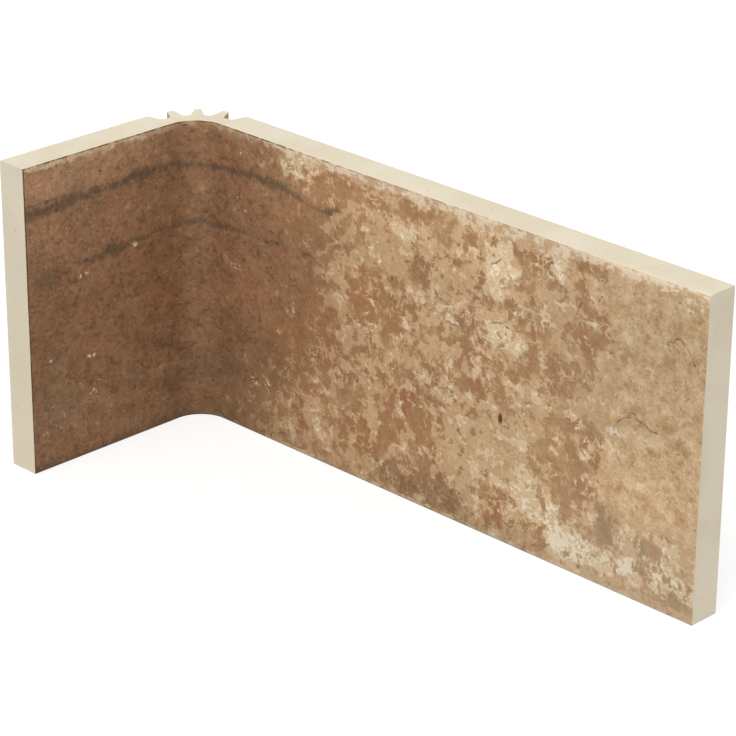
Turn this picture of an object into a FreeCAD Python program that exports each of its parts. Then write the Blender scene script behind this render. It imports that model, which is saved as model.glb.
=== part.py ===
import FreeCAD, Part
import math
import os

from FreeCAD import Vector

# Inside corner tile of glazed fired clay, one piece, standing on its long edge.
# X runs along the long leg, Y along the short leg and Z up the height of the tile.
# The glazed faces look into the angle and the plain backs look out of it.
# The origin is under the middle of the whole outline, on the surface the tile stands on.

# Driving dimensions, in millimetres and degrees
tile_height = 75.0
tile_thickness = 8.0
long_leg_length = 160.8
short_leg_length = 60.0
bend_radius = 7.6
corner_angle = 90.0

# Grooves up the back of the bend, with ribs left standing between them
groove_count = 4
web_thickness = 3.8
rib_tip_width = 1.65
rib_draft = 10.0
groove_setback = 0.75
end_groove_extra = 0.4
groove_floor_radius = 1.0
rib_edge_radius = 0.3
leg_crest_radius = 1.0

# Softened edges where the glaze turns over, all along the top and the bottom
arris_radius = 0.3

# The most of a straight side that the rounding at one of its ends may use
side_share = 0.48

# What follows from the driving dimensions
corner_slope = math.tan(math.radians(corner_angle / 2))
glazed_long_length = long_leg_length - tile_thickness / corner_slope
glazed_short_length = short_leg_length - tile_thickness / corner_slope
short_leg_angle = -corner_angle
short_back_angle = short_leg_angle - 90
bend_centre = Vector(bend_radius / corner_slope, -bend_radius, 0)
bend_middle_angle = 180 - corner_angle / 2
bend_sweep = 180 - corner_angle
back_radius = bend_radius + tile_thickness
floor_distance = bend_radius + web_thickness
rib_count = groove_count - 1
rib_tip_angle = math.degrees(2 * math.asin(rib_tip_width / 2 / back_radius))
setback_angle = math.degrees(math.atan(groove_setback / back_radius))
extra_angle = math.degrees(end_groove_extra / back_radius)
open_angle = bend_sweep + 2 * (setback_angle - extra_angle) - rib_count * rib_tip_angle
mouth_angle = open_angle / groove_count
rib_pitch = mouth_angle + rib_tip_angle


def heading(angle):
    return Vector(math.cos(math.radians(angle)), math.sin(math.radians(angle)), 0)


def crossing(line_a, line_b):
    # where two straight lines meet, each given as a point and a heading
    (point_a, heading_a), (point_b, heading_b) = line_a, line_b
    spread = heading_a.cross(heading_b).z
    return point_a + heading_a * ((point_b - point_a).cross(heading_b).z / spread)


def rib_flanks(angle):
    # a rib's two flanks, each as its corner at the tip and its heading down to the root
    tip = bend_centre + heading(angle) * back_radius
    half_tip = heading(angle + 90) * (rib_tip_width / 2)
    near_flank = (tip - half_tip, heading(angle + 180 + rib_draft))
    far_flank = (tip + half_tip, heading(angle + 180 - rib_draft))
    return near_flank, far_flank


def back_flanks():
    # every flank behind the bend, from the end of the long leg's back to the short leg's
    long_crest = bend_centre + Vector(groove_setback, back_radius, 0)
    short_crest = bend_centre + heading(short_leg_angle) * groove_setback
    short_crest += heading(short_back_angle) * back_radius
    flanks = [(long_crest, heading(-90 - rib_draft))]
    first_rib = bend_middle_angle - rib_pitch * (rib_count - 1) / 2
    for rib in range(rib_count):
        flanks.extend(rib_flanks(first_rib + rib * rib_pitch))
    flanks.append((short_crest, heading(short_back_angle + 180 + rib_draft)))
    return flanks


def groove_corners():
    # mouth, floor, floor and mouth of each groove in turn, each corner with its radius
    flanks = back_flanks()
    corners = []
    for groove in range(groove_count):
        near_flank, far_flank = flanks[2 * groove], flanks[2 * groove + 1]
        axis = ((near_flank[0] + far_flank[0]) / 2 - bend_centre).normalize()
        floor_line = (bend_centre + axis * floor_distance, Vector(-axis.y, axis.x, 0))
        corners.append([near_flank[0], rib_edge_radius])
        corners.append([crossing(near_flank, floor_line), groove_floor_radius])
        corners.append([crossing(far_flank, floor_line), groove_floor_radius])
        corners.append([far_flank[0], rib_edge_radius])
    corners[0][1] = leg_crest_radius
    corners[-1][1] = leg_crest_radius
    return corners


def section_corners():
    # the whole section, with the two glazed faces set to meet at the origin
    short_end = heading(short_leg_angle) * glazed_short_length
    long_end = Vector(glazed_long_length, 0, 0)
    glazed_side = [[short_end, 0], [Vector(0, 0, 0), bend_radius], [long_end, 0]]
    short_back_end = [short_end + heading(short_back_angle) * tile_thickness, 0]
    long_back_end = [long_end + Vector(0, tile_thickness, 0), 0]
    return glazed_side + [long_back_end] + groove_corners() + [short_back_end]


def rounding(last_corner, corner, next_corner, radius):
    # start, middle and finish of the arc that rounds one corner of an outline
    to_last = last_corner - corner
    to_next = next_corner - corner
    slope = math.tan(to_last.getAngle(to_next) / 2)
    room = min(to_last.Length, to_next.Length) * side_share
    reach = min(radius / slope, room)
    start = corner + to_last.normalize() * reach
    finish = corner + to_next.normalize() * reach
    inward = (to_last + to_next).normalize()
    middle = corner + inward * (reach * (math.hypot(1, slope) - slope))
    return start, middle, finish


def rounded_edges(corners):
    # the edges of a closed outline, with a tangent arc at each corner that has a radius
    points = [corner for corner, radius in corners]
    arcs = []
    for index, (corner, radius) in enumerate(corners):
        next_corner = points[(index + 1) % len(points)]
        arcs.append(rounding(points[index - 1], corner, next_corner, radius))
    edges = []
    for index, (start, middle, finish) in enumerate(arcs):
        if corners[index][1] > 0:
            edges.append(Part.Arc(start, middle, finish).toShape())
        next_start = arcs[(index + 1) % len(arcs)][0]
        edges.append(Part.LineSegment(finish, next_start).toShape())
    return edges


def glazed_arrises(tile, glazed_edges):
    # the edges of the tile that run along the glazed outline, at the bottom and the top
    bottom_line = Part.Wire(glazed_edges)
    top_line = bottom_line.translated(Vector(0, 0, tile_height))
    arrises = []
    for edge in tile.Edges:
        middle = Part.Vertex(edge.valueAt(sum(edge.ParameterRange) / 2))
        gap = min(line.distToShape(middle)[0] for line in (bottom_line, top_line))
        if gap < arris_radius / 100:
            arrises.append(edge)
    return arrises


def make_corner_tile():
    outline = rounded_edges(section_corners())
    glazed_edges = outline[:3]
    tile = Part.Face(Part.Wire(outline)).extrude(Vector(0, 0, tile_height))
    tile = tile.makeFillet(arris_radius, glazed_arrises(tile, glazed_edges))
    middle = tile.BoundBox.Center
    return tile.translated(Vector(-middle.x, -middle.y, 0))


os.makedirs("parts", exist_ok=True)
make_corner_tile().exportStep("parts/corner_tile.step")
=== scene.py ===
import math

import bmesh
import bpy
import numpy as np
from mathutils import Matrix, Vector, noise


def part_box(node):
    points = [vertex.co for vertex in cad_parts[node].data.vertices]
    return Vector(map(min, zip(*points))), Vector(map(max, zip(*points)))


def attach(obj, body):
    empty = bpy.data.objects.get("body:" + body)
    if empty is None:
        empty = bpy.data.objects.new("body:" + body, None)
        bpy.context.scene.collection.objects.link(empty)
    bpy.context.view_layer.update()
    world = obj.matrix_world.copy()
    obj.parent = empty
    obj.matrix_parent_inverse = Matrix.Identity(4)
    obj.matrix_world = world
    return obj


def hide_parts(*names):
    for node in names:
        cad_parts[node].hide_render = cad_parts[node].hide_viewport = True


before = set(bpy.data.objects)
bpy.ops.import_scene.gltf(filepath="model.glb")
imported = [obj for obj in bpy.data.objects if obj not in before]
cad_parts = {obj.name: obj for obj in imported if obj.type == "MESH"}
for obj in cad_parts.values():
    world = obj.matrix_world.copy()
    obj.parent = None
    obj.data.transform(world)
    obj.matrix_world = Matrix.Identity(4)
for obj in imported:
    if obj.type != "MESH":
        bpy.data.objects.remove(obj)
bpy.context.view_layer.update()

mm = 0.001


# The tile's own sizes, in millimetres. The way along the glaze is called s: it is 0 at the end of
# the short leg, goes round the bend and ends at the end of the long leg. z is the height.
tile = {
    "thickness": 8.0,
    "bendRadius": 7.6,
    "cell": 0.45,              # grid spacing of the glazed face
    "arris": 0.3,              # rounding along the top and bottom of the glaze
    "endArris": 0.12,          # rounding where the glaze meets the two ends
    "wornArris": 1.3,          # rounding of the rubbed top edge near the long leg's end
    "rimDepths": (0.12, 0.3, 0.55, 0.9, 1.35, 1.9, 2.6),
    "wallRows": 6,             # rows of faces up the back
    "sharpAngle": 40.0,        # edges that turn by more degrees than this stay crisp
}

low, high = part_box("corner_tile")
boxLow, boxHigh = low / mm, high / mm
height = boxHigh.z
glazeX = boxLow.x + tile["thickness"]      # plane of the short leg's glaze
glazeY = boxHigh.y - tile["thickness"]     # plane of the long leg's glaze
bendStart = glazeY - boxLow.y - tile["bendRadius"]
bendEnd = bendStart + tile["bendRadius"] * math.pi / 2
glazeRun = bendEnd + boxHigh.x - glazeX - tile["bendRadius"]


def glazeLine(s):
    # point on the glaze's line seen from above, and the direction into the clay there
    r = tile["bendRadius"]
    if s <= bendStart:
        return Vector((glazeX, boxLow.y + s)), Vector((-1, 0))
    if s >= bendEnd:
        return Vector((glazeX + r + s - bendEnd, glazeY)), Vector((0, 1))
    turn = (s - bendStart) / r
    inward = Vector((-math.cos(turn), math.sin(turn)))
    return Vector((glazeX + r, glazeY - r)) + inward * r, inward


def backOutline():
    # the back of the tile from the long leg's end to the short one's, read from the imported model
    bm = bmesh.new()
    bm.from_mesh(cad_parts["corner_tile"].data)
    bmesh.ops.remove_doubles(bm, verts=bm.verts, dist=1e-6)
    lids = {f for f in bm.faces if all(v.co.z > high.z - 1e-6 for v in f.verts)}
    rim = [e for f in lids for e in f.edges if sum(g in lids for g in e.link_faces) == 1]
    nextTo = {}
    for edge in rim:
        a, b = edge.verts
        nextTo.setdefault(a, []).append(b)
        nextTo.setdefault(b, []).append(a)
    start = max(nextTo, key=lambda v: v.co.x + v.co.y)
    end = min(nextTo, key=lambda v: v.co.x + v.co.y)
    ways = []
    for step in nextTo[start]:
        way, last = [start, step], start
        while way[-1] is not end:
            ahead = [v for v in nextTo[way[-1]] if v is not last]
            last = way[-1]
            way.append(ahead[0])
        ways.append([Vector((v.co.x / mm, v.co.y / mm)) for v in way])
    bm.free()
    # of the two ways round the rim, the back is the one further out
    return max(ways, key=lambda way: sum(p.y - p.x for p in way) / len(way))


def steps(length, cell, nearEnds):
    # places from 0 to length about a cell apart, with the places in nearEnds added at both ends
    count = round((length - 2 * nearEnds[-1]) / cell)
    middle = np.linspace(nearEnds[-1], length - nearEnds[-1], count + 1)
    first = np.array([0.0] + list(nearEnds[:-1]))
    return np.concatenate([first, middle, length - first[::-1]])


def softStep(x, start, end):
    t = np.clip((x - start) / (end - start), 0, 1)
    return t * t * (3 - 2 * t)


def clouds(s, z, size, octaves, seed):
    # layered noise of about -1 to 1, with its largest shapes size millimetres across
    flat = zip((s / size).ravel(), (z / size).ravel())
    values = [noise.fractal((a, b, 7.3 * seed), 0.8, 2.1, octaves) for a, b in flat]
    return np.array(values).reshape(s.shape)


# What years of wear are drawn like, with the glaze's broad tone and some painted light beside it.
# Ovals are (s, z, reach along s, reach up z, amount), and run from left to right.
wear = {
    "paling": 0.25,            # how far the tan and cream ovals lift the share of pale ground
    "browning": 0.28,          # how far the brown ovals lower it
    "limeTone": 0.58,          # that share in the limy foot near the long leg's end
    "creaming": 0.44,          # how far the cream ovals turn the ground cream
    "chalking": 0.34,          # and the chalk ovals chalky
    "scratching": 0.95,        # how plainly the scratches show
    # how far each thing stands proud of the glaze or lies below it, in millimetres
    "waves": 0.07,
    "grain": 0.022,
    "skinStep": 0.045,
    "fleckRise": 0.03,
    "smokeDip": 0.05,
    "pitDepth": 0.35,
    "crackDepth": 0.09,
    "crackWidth": 0.3,
    # where along s the top edge starts to be rubbed round, and where it is fully so
    "rubbed": (168, 184),
    # where the brown skin starts to flake off into cream, at heights from the bottom to the top
    "borderHeights": (0, 8, 16, 26, 45, 62, 69, 75),
    "borderPlaces": (68, 72, 80, 91, 95, 92, 83, 77),
    # how much of it is pale: first by the way past that border, then by s (0.5 is half)
    "fadePlaces": (-26, -13, -5, 2, 9),
    "fades": (-0.44, -0.34, -0.2, -0.05, 0.0),
    "tonePlaces": (60, 90, 110, 130, 150, 166, 178, 201),
    "tones": (0.42, 0.46, 0.5, 0.52, 0.54, 0.58, 0.86, 0.95),
    # how much of the ground is cream, at places along s
    "creamPlaces": (60, 90, 130, 160, 201),
    "creams": (0.24, 0.26, 0.3, 0.32, 0.16),
    # where brown skin is left, and where tan, cream and chalky ground shows
    "brownOvals": [
        (78, 10, 4, 2.6, 0.7), (84, 18, 3, 2.4, 0.5), (85, 8, 1.8, 1.8, 0.6), (88, 57, 6, 3, 0.4),
        (90, 27, 5, 3, 0.4), (92, 17, 3, 3, 0.5), (92, 67, 4.4, 3.4, 0.8), (93, 12.6, 2.4, 1.6, 0.7),
        (97, 70.5, 5, 2.8, 1), (99.5, 20, 4, 4, 0.9), (103.5, 70, 3, 2.6, 0.9),
        (104, 44.5, 4.6, 5.5, 1.2), (104, 12, 6, 4.6, 1), (109.5, 69, 3, 2, 0.5), (112, 44, 5, 7, 0.8),
        (112, 5, 6, 3, 1.1), (113, 15.5, 3.4, 4.6, 0.9), (118, 46, 2.4, 3, 0.7),
        (119, 70.5, 4.4, 2.4, 1), (119, 23, 9, 6.5, 0.9), (121.5, 56.5, 3, 3, 1.1),
        (123.5, 17, 4, 6, 1), (124, 6, 9, 4.6, 1), (128, 68.5, 2.4, 4.6, 0.9), (129, 45, 3, 2.6, 1.2),
        (129, 36, 4.4, 2.6, 1), (131, 50, 3, 2, 0.5), (132, 5, 4, 3.6, 0.9), (135, 44.5, 3.6, 3, 1.2),
        (136, 68.5, 2.6, 2.2, 0.9), (137.5, 33.5, 5, 2.6, 1.1), (139, 49, 4, 1.6, 0.5),
        (143.5, 38, 4.6, 6, 1.1), (145, 7.5, 5, 4.6, 1.3), (146.5, 46.3, 1.1, 1.4, 1.3),
        (148, 56, 5, 2.4, 1), (150, 39, 2, 3, 0.6), (151.5, 45.5, 1.3, 1.8, 1.2), (152.5, 5, 2, 3, 0.8),
        (154.5, 66.8, 4, 3.6, 1.3), (155.4, 23.6, 1.7, 2.9, 1.4), (156, 54, 3, 3, 1.1),
        (156, 47, 2.6, 3, 1.2), (156.5, 67, 5.4, 3.4, 0.7), (158.3, 4, 1.4, 2.8, 1.3),
        (161, 46.5, 2.8, 3, 1.2), (161, 44, 7, 5, 0.5), (163, 34, 4, 3, 0.6), (166, 55.5, 4, 3, 0.6),
        (166, 22.5, 8.8, 10, 1.1), (168, 65, 5, 3.5, 0.4), (170, 71.5, 4.4, 1.8, 1.1),
        (170, 47.5, 5, 2.6, 0.7), (172, 57, 5, 6.5, 1.1), (172, 34, 5, 3, 1.2),
        (172.6, 9.6, 1.2, 1.4, 0.6), (176.4, 16.2, 2, 1.8, 0.5), (177, 14.2, 3.2, 5.4, 1.3),
        (177.8, 12.2, 1.5, 2.4, 0.5), (184, 3, 3, 1.4, 0.5), (186.8, 10.4, 1.2, 3.4, 0.8),
        (190.4, 14.2, 2.4, 2.2, 0.5), (190.4, 12.6, 4.4, 4.8, 1.2), (194, 3, 8, 1.6, 0.5),
        (199, 4, 3.4, 1.6, 1.1),
    ],
    "tanOvals": [
        (76, 4, 3, 2, 0.7), (82, 6, 3, 2, 0.8), (87.5, 10, 2.6, 2, 1.2), (87.5, 27, 2, 1.8, 1.3),
        (93, 6.5, 3, 2, 1.1), (94.5, 44.5, 4.6, 6, 1), (97, 33, 3, 6, 0.4), (103, 55, 6, 3.4, 0.4),
        (105, 4.5, 3, 2.4, 1.1), (106.5, 18, 2.4, 4.6, 0.9), (113, 59.5, 5.4, 6, 0.9),
        (118.5, 16.5, 2, 4, 1.3), (123, 48, 2.4, 3.4, 0.6), (125, 62, 3, 4, 0.5),
        (126.5, 11, 1.2, 2.8, 0.8), (127.5, 40.5, 4, 2, 0.8), (128.5, 18, 1.6, 4, 0.8),
        (131.5, 13, 1.4, 4.4, 0.7), (133, 57, 4, 4, 0.5), (134.5, 19, 6.4, 11, 0.8),
        (137.3, 7.5, 1.3, 5, 1.3), (140, 58, 3, 3, 0.4), (142.2, 6, 0.9, 4, 1.3),
        (144, 73, 12, 1.4, 0.8), (148.5, 5.5, 1, 3.6, 1.1), (149, 22, 8.6, 7, 1.2),
        (156, 39, 2.4, 4, 0.8), (156, 30, 1.5, 3, 0.7), (160, 60, 3, 2.4, 0.5), (162, 52, 3.4, 2, 0.8),
        (163.6, 68.5, 3, 3.6, 0.8), (178, 24, 4, 7, 1), (183, 40, 12, 20, 0.4),
    ],
    "creamOvals": [
        (80, 70, 3, 2.6, 1.2), (81, 5, 3, 1.6, 0.7), (84.5, 71.8, 5, 3, 1.6), (88, 13, 2.2, 1.6, 0.8),
        (88, 27, 2, 2, 0.6), (91, 8.5, 3.4, 3.4, 0.6), (93, 66, 4.4, 3.6, -1.2), (96, 46, 3, 8, 0.15),
        (116.5, 65, 4.6, 1.6, 0.8), (129, 48.5, 2.6, 1.6, 0.7), (131, 29, 4, 3, 0.4),
        (139, 72.6, 5, 1.2, 0.9), (145.5, 64.5, 4.8, 5.8, 1.6), (147.5, 48.6, 6, 2.6, 1.6),
        (148, 26, 5, 2, 0.6), (152, 13, 9, 5, 0.5), (155, 18, 2.4, 4, 0.6), (156, 12, 4, 3.6, 0.9),
        (161, 69.5, 2.6, 3.4, 0.9), (167.5, 6, 6, 3.4, 1.5), (168, 36, 1.8, 1.8, 1.3),
        (170.3, 29, 1.7, 1.2, 1), (178, 6.4, 2.4, 3.4, 1), (182.5, 7.5, 2.2, 1.6, 1.9),
        (189, 10, 16, 8, 0.6), (196, 8.5, 6, 2, 1.1), (196, 14, 7, 5, 0.6),
    ],
    "chalkOvals": [
        (84.5, 72.2, 4.2, 2.2, 0.6), (151, 14, 2.4, 5, 0.4), (160, 11, 6, 4, 0.6),
        (167, 6.6, 7, 4, 1.3), (170.3, 29, 1.7, 1, 0.7), (177, 6, 2.4, 3, 0.6),
        (182.5, 7.5, 2.4, 1.7, 1.6), (186.4, 13.4, 0.9, 1.8, 0.8), (194, 6, 8, 3, 0.5),
        (196, 8.5, 6, 2, 0.8),
    ],
    # broad lighter (+) and darker (-) areas: partly the glaze's own tone, partly painted light that
    # lifts the shade near the bend
    "toneAndPaintedLightOvals": [
        (2.4, 70.6, 1.4, 3.4, 0.4), (4, 60, 7, 6, 0.4), (5, 69, 6, 5, 0.3), (5, 47.5, 4, 3.4, -0.3),
        (12, 10, 14, 6, 0.25), (18, 70, 27, 5, 1.1), (18, 58, 24, 8, 0.45), (20, 48, 20, 6, 0.15),
        (20, 71, 20, 4, 0.2), (26, 24, 20, 20, 0.06), (40, 34, 8, 26, -0.2), (50, 62, 3, 12, 0.2),
        (50, 10, 12, 8, -0.2), (56, 16, 15, 14, -0.2), (56, 50, 6, 5, -0.3), (60, 2, 26, 4, -0.4),
        (66, 36, 8, 9, 0.35), (68, 58, 14, 14, 0.35), (74, 8, 12, 7, -0.2), (76, 20, 8, 6, -0.3),
        (81, 64, 10, 9, 0.28), (95, 67, 14, 9, 0.25), (96, 50, 8, 6, 0.25), (110, 42, 16, 16, 0.15),
        (112, 4, 10, 4, -0.2), (120, 69, 34, 8, 0.35), (132, 6, 8, 6, -0.15), (140, 2, 26, 3, -0.35),
        (147, 52, 20, 18, 0.1), (147, 60, 10, 10, 0.1), (160, 52, 12, 14, -0.1), (166, 22, 7, 10, 0.15),
        (177, 13, 4, 6, -0.35), (178, 46, 24, 10, -0.1), (185, 25, 14, 10, 0.22),
        (187, 10.6, 2, 4, -0.35), (190, 60, 14, 8, -0.12), (193, 62, 12, 12, -0.1),
    ],
    # redder (+) and greyer (-) areas
    "warmOvals": [
        (5, 30, 5, 20, -0.3), (8, 54, 12, 9, -0.2), (10, 15, 14, 10, -0.2), (20, 66, 26, 10, -0.3),
        (20, 16, 14, 9, -0.3), (50, 34, 14, 12, 0.35), (52, 8, 16, 11, -0.2), (60, 20, 10, 18, -0.2),
        (64, 40, 9, 10, 0.35), (76, 32, 9, 14, 0.25), (78, 54, 9, 14, 0.12), (86, 56, 8, 5, 0.25),
        (88, 30, 12, 20, 0.5), (94, 36, 9, 8, 0.5), (103, 12, 8, 6, 0.8), (104, 45, 6, 8, 1),
        (118, 20, 9, 9, 0.9), (132, 6, 6, 5, -0.5), (141, 34, 8, 4, 0.6), (143, 9, 6, 4, 0.6),
        (145, 6, 5, 4, 0.5), (156, 53, 3, 4, 0.8), (158, 62, 8, 6, -0.3), (162, 47, 4, 4, 0.5),
        (166, 22, 8, 10, -0.1), (171, 53.8, 4, 3.4, 0.9), (177, 14, 4, 6, 0.05),
        (184, 21, 11, 12, -0.3), (190, 11.6, 3.4, 5.4, 0.35), (190, 62, 16, 14, 0.3),
        (192, 4, 12, 4, -0.4), (198, 5, 6, 4, -0.6),
    ],
    # chalky flecks
    "fleckOvals": [
        (6, 26.8, 0.6, 0.5, 0.7), (15.2, 45.1, 0.5, 0.5, 0.8), (17, 45.3, 1, 0.5, 0.7),
        (17.6, 61.3, 0.6, 0.5, 0.5), (17.8, 24.5, 1.5, 0.6, 1), (31.7, 48.4, 1, 0.6, 1),
        (41, 39, 1.3, 0.5, 0.35), (50, 42.5, 0.4, 0.3, 0.5), (52.7, 72.4, 0.4, 1.3, 0.35),
        (61.5, 41, 2.6, 0.6, 0.3), (62.5, 59.3, 0.6, 1.3, 0.5), (63.6, 69.6, 0.3, 0.3, 0.9),
        (64.8, 55.7, 0.9, 0.3, 0.8), (66.8, 13.8, 0.6, 0.8, 0.9), (68.4, 13.1, 1.4, 0.6, 0.6),
        (72, 14, 1.6, 0.8, 0.5), (75, 29.2, 0.6, 0.5, 1), (76, 13.2, 1.6, 0.6, 0.4),
        (97, 16.4, 0.5, 0.5, 0.9), (99, 71.6, 0.4, 0.8, 0.9), (101, 61.5, 0.4, 0.4, 0.6),
        (102, 38.6, 1.2, 0.5, 0.7), (104.7, 42, 0.5, 0.6, 0.8), (112, 6.6, 2.2, 0.5, 0.3),
        (113.6, 11.4, 0.5, 0.4, 1), (115.2, 11.5, 0.4, 0.3, 0.8), (120.4, 32.4, 0.8, 0.4, 1),
        (122.6, 32.5, 1.3, 0.35, 0.5), (126.2, 48.5, 0.5, 0.4, 1), (129.5, 59.3, 1.6, 0.4, 0.8),
        (131, 48.1, 2.6, 0.5, 0.8), (136, 51.7, 1.3, 0.3, 0.9), (149.5, 33.6, 0.7, 0.3, 0.7),
        (151, 34.6, 1.2, 0.5, 0.8), (153, 33.2, 0.5, 0.3, 0.7), (154.2, 35.2, 0.8, 0.7, 0.9),
        (156.5, 71.9, 1, 0.3, 1), (157.2, 47.4, 0.6, 0.5, 0.9), (157.6, 55.7, 0.6, 1.1, 0.7),
        (159.4, 72.1, 1.2, 0.5, 0.9), (162, 61.6, 1.6, 0.7, 0.6), (168, 22, 0.5, 2.6, 0.5),
        (171.6, 59.6, 2.2, 0.7, 0.7), (172, 23.4, 0.6, 0.6, 0.7), (178, 37.3, 2.4, 1, 0.9),
        (178.5, 34.6, 0.8, 0.4, 0.5), (186.3, 13.4, 0.5, 1.2, 0.8), (187.2, 54.5, 1.5, 0.3, 0.8),
        (190.8, 27.4, 0.4, 0.6, 0.9), (196.8, 70.3, 1.3, 0.5, 0.9), (199.8, 71.2, 1, 0.5, 0.8),
    ],
    # pale scratches, most near the short leg's foot: (s, z, half width, strength) from point to point
    "scratches": [
        [(3, 9.2, 0.4, 0.5), (4.2, 9.4, 0.4, 0.5)], [(4, 14.2, 0.3, 0.5), (4, 13.4, 0.3, 0.4)],
        [(5, 10.8, 0.4, 0.3), (7.6, 10, 0.4, 0.4)], [(5.3, 15.7, 0.3, 0.5), (6.3, 15, 0.3, 0.5)],
        [(6.7, 9.2, 0.3, 0.4), (8.2, 9.3, 0.3, 0.4)], [(8.6, 13.2, 0.3, 0.5), (9.8, 11, 0.35, 0.5)],
        [(15.6, 12.1, 0.3, 0.4), (16.4, 12.7, 0.3, 0.4)],
        [(17, 14.8, 0.4, 0.5), (18, 16.2, 0.4, 0.6), (19, 15, 0.4, 0.5)],
        [(19.4, 13.8, 0.35, 0.4), (19.8, 12.8, 0.3, 0.3)],
        [(20, 17.9, 0.4, 0.5), (20.5, 17.6, 0.4, 0.5)], [(22.6, 12.5, 0.3, 0.4), (23.4, 12, 0.3, 0.4)],
        [(57, 42.6, 1.6, 0.2), (63, 41, 1.4, 0.2)],
    ],
    # smoky lines and stains: (s, z, half width, darkness) from point to point
    "smokeLines": [
        [(-1, 63.9, 2.08, 0.75), (6, 63.6, 1.92, 0.7), (11, 63.9, 1.84, 0.75), (16, 64.3, 1.4, 0.68),
         (23, 64.5, 1.3, 0.7), (29, 64.5, 1.3, 0.75), (31.5, 65.4, 1.6, 0.9), (34.3, 65, 1.76, 0.9),
         (36.5, 65.2, 1.12, 0.7), (40, 65.4, 1, 0.6), (44.5, 65.2, 1.04, 0.65),
         (47.5, 64.1, 0.96, 0.65), (52, 64.1, 1, 0.6), (57, 64.3, 1.1, 0.7), (63, 64.6, 1.2, 0.75),
         (69, 65.2, 1.44, 0.62), (75, 65.1, 1.76, 0.68), (79, 64.6, 1.52, 0.65),
         (82.5, 63.8, 0.96, 0.6), (86, 62.9, 0.48, 0.5), (90, 62.3, 0.56, 0.5),
         (92.5, 63.1, 1.04, 0.75), (95.5, 64, 0.96, 0.65), (97.5, 64.2, 0.4, 0.2)],
        [(10.5, 50.1, 0.56, 0.3), (13, 49.3, 0.72, 0.5), (16, 48.6, 0.72, 0.65), (19, 48.1, 0.96, 0.8),
         (22, 48.3, 0.88, 0.65), (24.3, 49.3, 1.52, 0.8), (26.6, 48.6, 1.68, 0.9),
         (28.6, 48.9, 1.04, 0.6), (32, 49.7, 0.96, 0.5), (36, 49.3, 0.7, 0.6), (38.6, 49.8, 0.8, 0.65),
         (42, 50, 0.64, 0.5), (46, 49.6, 0.64, 0.55), (50.5, 50.3, 0.8, 0.65), (54, 49.6, 0.88, 0.65),
         (57, 49.5, 1.12, 0.8), (59, 50, 0.8, 0.6), (65, 50.2, 0.64, 0.5), (71, 50, 0.56, 0.5),
         (75, 50.6, 0.96, 0.7), (77.4, 50.8, 0.8, 0.6), (79, 50.2, 0.4, 0.2)],
        [(-1, 65.8, 0.56, 0.6), (8, 65.5, 0.48, 0.6), (20, 65.3, 0.4, 0.5), (29, 65.2, 0.4, 0.5)],
        [(3.4, 47.2, 1.92, 0.36), (6.5, 47.6, 2.08, 0.38), (8.4, 49.6, 0.8, 0.2)],
        [(3.4, 17.5, 0.9, 0.45), (4.6, 13, 0.7, 0.4)], [(4, 34, 0.4, 0.45), (4.4, 27, 0.7, 0.4)],
        [(83.6, 50.4, 0.8, 0.55), (85, 50.8, 1.2, 0.8), (87, 50.5, 0.72, 0.55)],
        [(108, 4, 2.6, 0.3), (118, 4, 3.6, 0.38), (128, 5, 4, 0.38), (137, 4, 2.6, 0.3)],
        [(113, 54, 0.3, 0.7), (112.8, 52.6, 0.3, 0.8)],
        [(175, 16.8, 0.8, 0.2), (177, 15.4, 0.9, 0.34), (178.2, 17.6, 0.8, 0.24)],
        [(176.4, 13.4, 0.6, 0.24), (178, 12, 0.9, 0.3), (179.4, 10.6, 0.5, 0.2)],
        [(187.2, 12.8, 0.7, 0.2), (186.3, 10.8, 1, 0.34), (186, 8, 0.8, 0.25)],
    ],
    # hair cracks: (s, z) from point to point
    "cracks": [
        [(192.4, 60), (191.6, 60.5), (191.5, 62.1), (192.9, 62.1), (193.6, 63.3), (194.8, 63.5),
         (195.8, 62.3), (197.1, 61.2), (198.7, 58.8)],
        [(140.4, 46.8), (142.6, 46.5)], [(141.6, 64.5), (143.3, 65.3), (145.2, 66.8)],
        [(142.6, 51.2), (144.6, 52), (146.2, 52.2), (147.6, 51.5)], [(167.4, 62.4), (168.2, 63.6)],
        [(172.6, 65.2), (173.6, 66.6)], [(179, 39.7), (180.3, 41.1), (182.2, 41.8)],
        [(182.2, 43.1), (183.6, 42.9)], [(184.1, 42), (186.5, 41.6), (188.2, 40.6), (189.8, 40.7)],
        [(193.4, 17.9), (195.2, 17.1)],
    ],
    # dark pits, as ovals
    "pits": [(145.9, 29.5, 0.75, 1.5, 1.0), (169.6, 2.1, 0.7, 0.6, 0.8), (11.4, 56, 0.4, 0.3, 0.5),
             (36, 30.6, 0.5, 0.4, 0.4), (155.4, 20, 0.4, 0.3, 0.6), (201, 22.2, 0.5, 0.4, 0.7)],
    # nicks in the top edge: (s, reach along s, extra rounding)
    "nicks": [(1.4, 1.6, 0.35), (31, 1.5, 0.25), (52.8, 1.2, 0.3), (84, 4, 0.4), (99, 1.5, 0.3),
              (133, 5, 0.3), (145, 4, 0.35), (160, 3, 0.35)],
}


def addOvals(s, z, ovals):
    # sum of soft ovals, each 1 times its amount in the middle
    total = np.zeros_like(s)
    for middleS, middleZ, reachS, reachZ, amount in ovals:
        away = ((s - middleS) / reachS) ** 2 + ((z - middleZ) / reachZ) ** 2
        total += amount * np.exp(-away ** 1.6)
    return total


def drawLines(s, z, lines):
    # soft lines that change in width and darkness from point to point
    total = np.zeros_like(s)
    for line in lines:
        for (s0, z0, wide0, dark0), (s1, z1, wide1, dark1) in zip(line, line[1:]):
            along = (s - s0) * (s1 - s0) + (z - z0) * (z1 - z0)
            t = np.clip(along / ((s1 - s0) ** 2 + (z1 - z0) ** 2), 0, 1)
            away = np.hypot(s - s0 - t * (s1 - s0), z - z0 - t * (z1 - z0))
            wide = wide0 + t * (wide1 - wide0)
            total = np.maximum(total, (dark0 + t * (dark1 - dark0)) * np.exp(-(away / wide) ** 2))
    return total


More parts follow.
